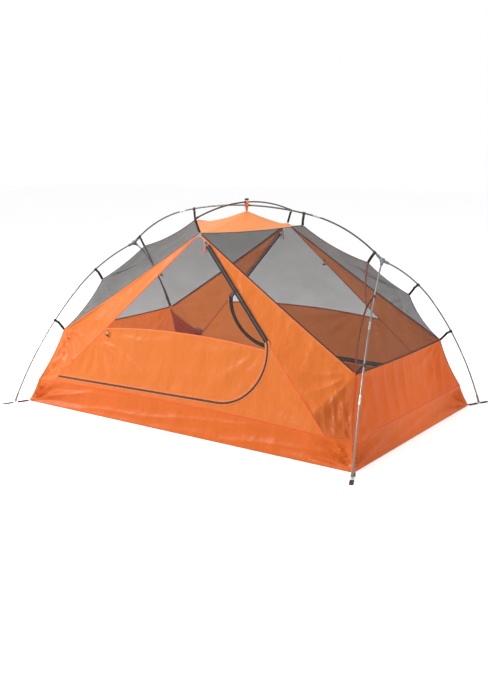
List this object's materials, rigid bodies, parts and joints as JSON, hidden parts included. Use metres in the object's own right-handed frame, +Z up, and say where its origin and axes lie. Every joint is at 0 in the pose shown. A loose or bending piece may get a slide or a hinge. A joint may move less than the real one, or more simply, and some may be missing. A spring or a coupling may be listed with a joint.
{
  "type": "two-person inner tent on poles",
  "caption": "Free-standing inner tent: netting and orange fabric shell with zipped doors, clipped under a ridge pole, splayed legs and a brow pole.",
  "frame": {"origin": "middle of the floor's underside, on the ground", "axes": "+X along the tent's length towards the right-hand end seen from the front door, -Y out through the front door, +Z up"},
  "size_m": [2.2424, 1.636, 1.1474],
  "materials": {
    "tub_fabric": "coated ripstop, dull sheen",
    "wall_fabric": "thin ripstop weave, translucent",
    "roof_fabric": "thin ripstop weave, translucent",
    "netting": "fine insect netting",
    "binding": "woven binding tape",
    "seam_tape": "stitched seam",
    "zip": "woven tape with nylon coil",
    "slider_metal": "satin black",
    "pull_cord": "braided cord",
    "black_plastic": "moulded, satin",
    "webbing": "woven webbing",
    "loop_webbing": "woven webbing",
    "label": "plain woven patch",
    "pole": "anodised grey",
    "sleeve_metal": "bright drawn tube",
    "grey_plastic": "moulded, satin",
    "light_plastic": "moulded, glossy"
  },
  "bodies": {
    "canopy": {"bathtub_floor": "tub_fabric", "end_wall_right": "wall_fabric", "end_wall_left": "wall_fabric", "end_mesh_right": "netting", "end_mesh_left": "netting", "roof_mesh_front_right": "netting", "roof_mesh_front_left": "netting", "roof_mesh_back_left": "netting", "roof_mesh_back_right": "netting", "roof_panel": "roof_fabric", "front_wall_hinge_side": "wall_fabric", "front_wall_zip_side": "wall_fabric", "back_wall_hinge_side": "wall_fabric", "back_wall_zip_side": "wall_fabric", "front_sill": "wall_fabric", "back_sill": "wall_fabric", "zip_tapes_fixed": "zip", "mesh_bindings": "binding", "wall_seams": "seam_tape", "hinge_tapes": "binding", "tub_seam": "seam_tape", "corner_pockets": "wall_fabric", "care_label": "label", "ridge_pole": "pole", "leg_pole_front_right": "pole", "leg_pole_front_left": "pole", "leg_pole_back_right": "pole", "leg_pole_back_left": "pole", "pole_ferrules": "sleeve_metal", "hubs": "grey_plastic", "ridge_clamp": "grey_plastic", "roof_loop": "loop_webbing", "roof_toggle": "black_plastic", "foot_caps": "grey_plastic", "foot_rings": "light_plastic", "corner_straps": "webbing", "stake_tails": "webbing", "clip_hooks": "black_plastic", "clip_straps": "webbing", "peak_straps": "webbing"},
    "brow": {"brow_pole": "pole", "brow_saddle": "grey_plastic", "brow_tips": "black_plastic"},
    "front_door": {"front_door_mesh": "netting", "front_door_panel": "wall_fabric", "front_door_zip": "zip"},
    "front_slider": {"front_zip_slider": "slider_metal"},
    "front_outer_pull_body": {"front_outer_pull": "pull_cord"},
    "front_inner_pull_body": {"front_inner_pull": "black_plastic"},
    "front_outer_toggle_body": {"front_outer_toggle": "black_plastic"},
    "front_inner_toggle_body": {"front_inner_toggle": "black_plastic"},
    "back_door": {"back_door_mesh": "netting", "back_door_panel": "wall_fabric", "back_door_zip": "zip"},
    "back_slider": {"back_zip_slider": "slider_metal"},
    "back_outer_pull_body": {"back_outer_pull": "pull_cord"},
    "back_inner_pull_body": {"back_inner_pull": "black_plastic"},
    "back_outer_toggle_body": {"back_outer_toggle": "black_plastic"},
    "back_inner_toggle_body": {"back_inner_toggle": "black_plastic"}
  },
  "joints": [
    {"name": "brow_swivel", "type": "hinge", "parent": "canopy", "child": "brow", "pos_m": [0, 0, 1.1185], "axis": [0, 0, 1], "range_deg": [-3, 3]},
    {"name": "front_door_swing", "type": "hinge", "parent": "canopy", "child": "front_door", "pos_m": [0, -0.415, 0.988], "axis": [-0.7016, -0.1814, -0.6892], "range_deg": [0, 120]},
    {"name": "front_zip_slide", "type": "slide", "parent": "front_door", "child": "front_slider", "axis": [0.7016, -0.1814, -0.6892], "range_m": [0, 0.6]},
    {"name": "front_outer_pull_swing", "type": "hinge", "parent": "front_slider", "child": "front_outer_pull_body", "pos_m": [0.0463, -0.43296, 0.94409], "axis": [-1, 0, 0], "range_deg": [0, 110]},
    {"name": "front_inner_pull_swing", "type": "hinge", "parent": "front_slider", "child": "front_inner_pull_body", "pos_m": [0.0463, -0.42097, 0.94094], "axis": [1, 0, 0], "range_deg": [-8, 110]},
    {"name": "front_outer_toggle_swing", "type": "hinge", "parent": "front_door", "child": "front_outer_toggle_body", "pos_m": [-0.52, -0.56334, 0.44983], "axis": [-1, 0, 0], "range_deg": [0, 90]},
    {"name": "front_inner_toggle_swing", "type": "hinge", "parent": "canopy", "child": "front_inner_toggle_body", "pos_m": [-0.2308, -0.44992, 0.79365], "axis": [1, 0, 0], "range_deg": [-6, 90]},
    {"name": "back_door_swing", "type": "hinge", "parent": "canopy", "child": "back_door", "pos_m": [0, 0.415, 0.988], "axis": [0.7016, 0.1814, -0.6892], "range_deg": [0, 120]},
    {"name": "back_zip_slide", "type": "slide", "parent": "back_door", "child": "back_slider", "axis": [-0.7016, 0.1814, -0.6892], "range_m": [0, 0.6]},
    {"name": "back_outer_pull_swing", "type": "hinge", "parent": "back_slider", "child": "back_outer_pull_body", "pos_m": [-0.0463, 0.43296, 0.94409], "axis": [1, 0, 0], "range_deg": [0, 110]},
    {"name": "back_inner_pull_swing", "type": "hinge", "parent": "back_slider", "child": "back_inner_pull_body", "pos_m": [-0.0463, 0.42097, 0.94094], "axis": [-1, 0, 0], "range_deg": [-8, 110]},
    {"name": "back_outer_toggle_swing", "type": "hinge", "parent": "back_door", "child": "back_outer_toggle_body", "pos_m": [0.52, 0.56334, 0.44983], "axis": [1, 0, 0], "range_deg": [0, 90]},
    {"name": "back_inner_toggle_swing", "type": "hinge", "parent": "canopy", "child": "back_inner_toggle_body", "pos_m": [0.2308, 0.44992, 0.79365], "axis": [-1, 0, 0], "range_deg": [-6, 90]}
  ]
}
